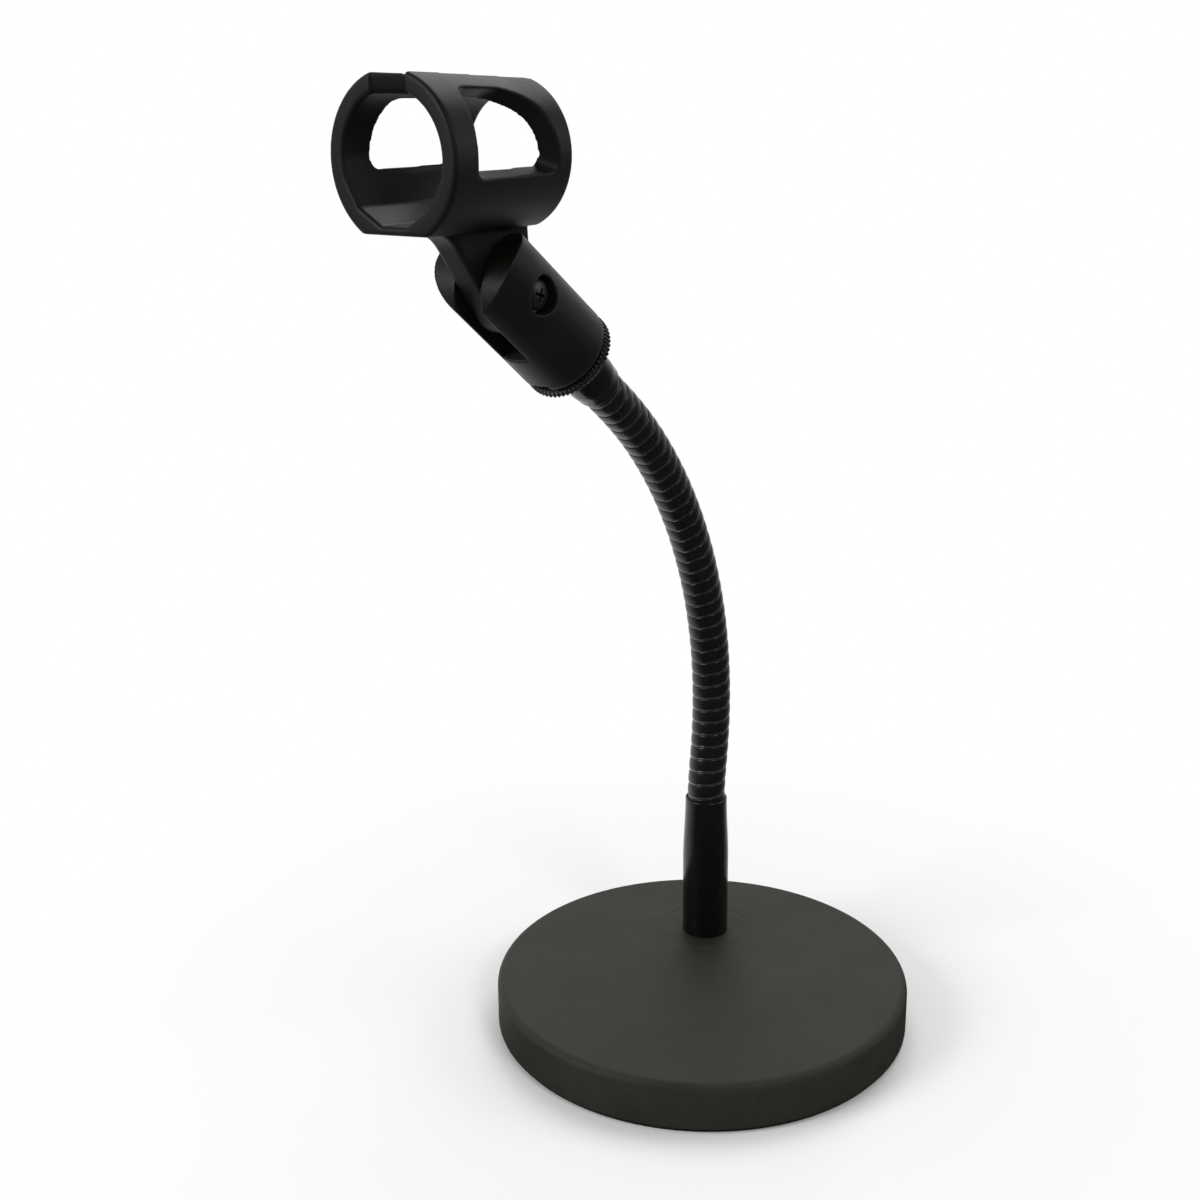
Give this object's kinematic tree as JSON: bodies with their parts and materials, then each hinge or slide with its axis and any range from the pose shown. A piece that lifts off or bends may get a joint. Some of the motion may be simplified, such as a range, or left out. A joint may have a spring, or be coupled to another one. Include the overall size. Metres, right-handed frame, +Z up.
{
  "type": "desktop microphone stand",
  "caption": "Desktop microphone stand: heavy round base, flexible gooseneck set behind its centre, and a tilting, turning split holder for a hand-held microphone.",
  "frame": {"origin": "centre of the round base on the surface it stands on", "axes": "+Z up; -Y the way the holder points at rest; +X to the right of someone facing +Y. The gooseneck bends in a plane parallel to YZ through the stem at rest."},
  "size_m": [0.13, 0.1739, 0.2899],
  "materials": {
    "base": "fine-textured matte powder coat on cast iron",
    "pad": "matte black foam rubber",
    "bolt": "zinc-plated steel",
    "ferrule": "gloss black enamel on steel tube",
    "band": "gloss black finish on wedge-section steel wire",
    "spring": "blackened round spring wire",
    "stud": "blackened turned steel",
    "adaptor": "satin black, fine axial knurl",
    "swivel": "satin black moulded plastic, fine spark grain",
    "screw": "black oxide steel",
    "holder": "satin black moulded plastic, fine spark grain"
  },
  "bodies": {
    "base": {"base_casting": "base", "foot_pad": "pad", "stem_bolt": "bolt", "stem_washer": "bolt", "stem_lock_washer": "bolt", "lower_ferrule": "ferrule", "outer_wire_1": "band", "inner_spring_1": "spring"},
    "neck_1": {"outer_wire_2": "band", "inner_spring_2": "spring"},
    "neck_2": {"outer_wire_3": "band", "inner_spring_3": "spring"},
    "neck_3": {"outer_wire_4": "band", "inner_spring_4": "spring"},
    "neck_4": {"outer_wire_5": "band", "inner_spring_5": "spring"},
    "neck_5": {"outer_wire_6": "band", "inner_spring_6": "spring"},
    "neck_6": {"outer_wire_7": "band", "inner_spring_7": "spring"},
    "neck_7": {"outer_wire_8": "band", "inner_spring_8": "spring"},
    "neck_head": {"outer_wire_9": "band", "inner_spring_9": "spring", "upper_ferrule": "ferrule", "threaded_stud": "stud"},
    "swivel": {"thread_adaptor": "adaptor", "swivel_body": "swivel", "pivot_screw": "screw", "pivot_washer": "screw", "pivot_nut": "screw"},
    "holder": {"microphone_holder": "holder"}
  },
  "joints": [
    {"name": "neck_bend_1", "type": "hinge", "parent": "base", "child": "neck_1", "pos_m": [-0.01462, 0.02534, 0.08102], "axis": [1, 0, 0], "range_deg": [-14, 14]},
    {"name": "neck_sway_1", "type": "hinge", "parent": "neck_1", "child": "neck_2", "pos_m": [-0.01462, 0.02617, 0.09809], "axis": [0, 0.9999, 0.0148], "range_deg": [-14, 14]},
    {"name": "neck_bend_2", "type": "hinge", "parent": "neck_2", "child": "neck_3", "pos_m": [-0.01462, 0.02416, 0.11935], "axis": [1, 0, 0], "range_deg": [-14, 14]},
    {"name": "neck_sway_2", "type": "hinge", "parent": "neck_3", "child": "neck_4", "pos_m": [-0.01462, 0.02015, 0.13597], "axis": [0, 0.9552, 0.2959], "range_deg": [-14, 14]},
    {"name": "neck_bend_3", "type": "hinge", "parent": "neck_4", "child": "neck_5", "pos_m": [-0.01462, 0.01407, 0.15194], "axis": [1, 0, 0], "range_deg": [-14, 14]},
    {"name": "neck_sway_3", "type": "hinge", "parent": "neck_5", "child": "neck_6", "pos_m": [-0.01462, 0.00601, 0.16702], "axis": [0, 0.8503, 0.5263], "range_deg": [-14, 14]},
    {"name": "neck_bend_4", "type": "hinge", "parent": "neck_6", "child": "neck_7", "pos_m": [-0.01462, -0.00663, 0.18423], "axis": [1, 0, 0], "range_deg": [-14, 14]},
    {"name": "neck_sway_4", "type": "hinge", "parent": "neck_7", "child": "neck_head", "pos_m": [-0.01462, -0.01861, 0.19642], "axis": [0, 0.6675, 0.7446], "range_deg": [-14, 14]},
    {"name": "swivel_turn", "type": "hinge", "parent": "neck_head", "child": "swivel", "pos_m": [-0.01462, -0.04434, 0.21692], "axis": [0, -0.788, 0.6157], "range_deg": [-180, 180]},
    {"name": "holder_tilt", "type": "hinge", "parent": "swivel", "child": "holder", "pos_m": [-0.01462, -0.06909, 0.23625], "axis": [1, 0, 0], "range_deg": [-45, 110]}
  ]
}
